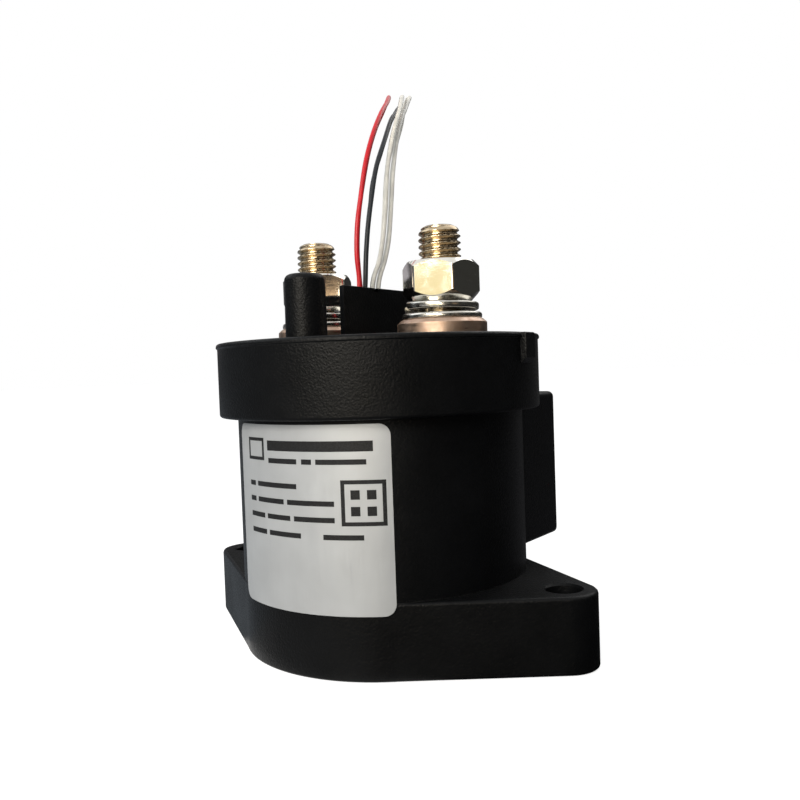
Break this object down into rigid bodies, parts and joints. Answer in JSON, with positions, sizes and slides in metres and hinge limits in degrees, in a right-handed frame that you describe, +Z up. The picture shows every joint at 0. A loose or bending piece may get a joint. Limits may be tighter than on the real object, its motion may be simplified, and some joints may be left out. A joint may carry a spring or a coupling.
{
  "type": "high voltage dc contactor",
  "caption": "Sealed high voltage DC contactor: round black moulded body on an eared base, wider cap with threaded terminal studs, rear electronics cover and thin flying leads.",
  "frame": {"origin": "midway between the mounting holes, on the underside of the base, on the axis of the round body", "axes": "+Z up along the body and the terminal studs, +X along the line of the mounting holes, +Y towards the rear electronics cover"},
  "size_m": [0.0949, 0.0932, 0.1185],
  "materials": {
    "moulding": "satin black glass-filled moulding with a fine grain",
    "seal": "black sealing compound",
    "board": "green circuit board",
    "capacitor_sleeve": "dark blue sleeve",
    "chip_black": "moulded component body",
    "label_film": "satin silver film with dark print",
    "terminal_metal": "tin plated copper alloy",
    "washer_steel": "zinc plated steel",
    "nut_plating": "bright nickel plate",
    "contact_silver": "silver alloy",
    "chamber_ceramic": "unglazed ceramic",
    "magnet": "sintered magnet",
    "copper": "bare and enamelled copper",
    "spring_steel": "bright spring and stainless steel",
    "seat_plastic": "brown moulding",
    "reed_glass": "green tinted glass",
    "soft_iron": "plated soft iron",
    "pad_rubber": "rubber",
    "lead_red": "red insulation",
    "lead_black": "black insulation",
    "lead_white": "white insulation",
    "lead_bundle": "coiled leads",
    "tie_plastic": "black nylon",
    "tinned_wire": "tinned copper strands"
  },
  "bodies": {
    "body": {"housing": "moulding", "cap": "moulding", "cap_seal": "seal", "economiser_cover": "moulding", "economiser_board": "board", "board_capacitor": "capacitor_sleeve", "board_transistor": "chip_black", "board_chip": "chip_black", "rating_label": "label_film", "terminal_left": "terminal_metal", "terminal_right": "terminal_metal", "flat_washer_left": "washer_steel", "flat_washer_right": "washer_steel", "spring_washer_left": "washer_steel", "spring_washer_right": "washer_steel", "terminal_nut_left": "nut_plating", "terminal_nut_right": "nut_plating", "fixed_tip_left": "contact_silver", "fixed_tip_right": "contact_silver", "arc_chamber": "chamber_ceramic", "chamber_lid": "chamber_ceramic", "arc_magnet_left": "magnet", "arc_magnet_right": "magnet", "aux_reed_switch": "reed_glass", "return_spring": "spring_steel", "fixed_core": "soft_iron", "guide_sleeve": "spring_steel", "damper_pad": "pad_rubber", "coil_bobbin": "seat_plastic", "coil_winding": "copper", "yoke_cup": "soft_iron", "yoke_top_plate": "soft_iron", "lead_seal": "seal", "lead_red": "lead_red", "lead_black": "lead_black", "lead_white_1": "lead_white", "lead_white_2": "lead_white", "lead_coil": "lead_bundle", "lead_tie": "tie_plastic", "lead_ends": "tinned_wire"},
    "plunger": {"plunger_shaft": "spring_steel", "moving_core": "soft_iron", "spring_seat": "seat_plastic", "aux_magnet": "magnet", "retaining_clip": "spring_steel", "contact_spring": "spring_steel"},
    "contact_bridge": {"moving_contact": "copper", "moving_tip_left": "contact_silver", "moving_tip_right": "contact_silver"}
  },
  "joints": [
    {"name": "plunger_slide", "type": "slide", "parent": "body", "child": "plunger", "axis": [0, 0, 1], "range_m": [0, 0.0022], "stiffness_N_per_m": 2000, "springref_m": -0.004, "deforming": ["return_spring"]},
    {"name": "contact_overtravel", "type": "slide", "parent": "plunger", "child": "contact_bridge", "axis": [0, 0, 1], "range_m": [-0.0006, 0], "deforming": ["contact_spring"]}
  ],
  "couplings": [
    {"joint": "contact_overtravel", "follows": "plunger_slide", "ratio": -0.2727}
  ]
}
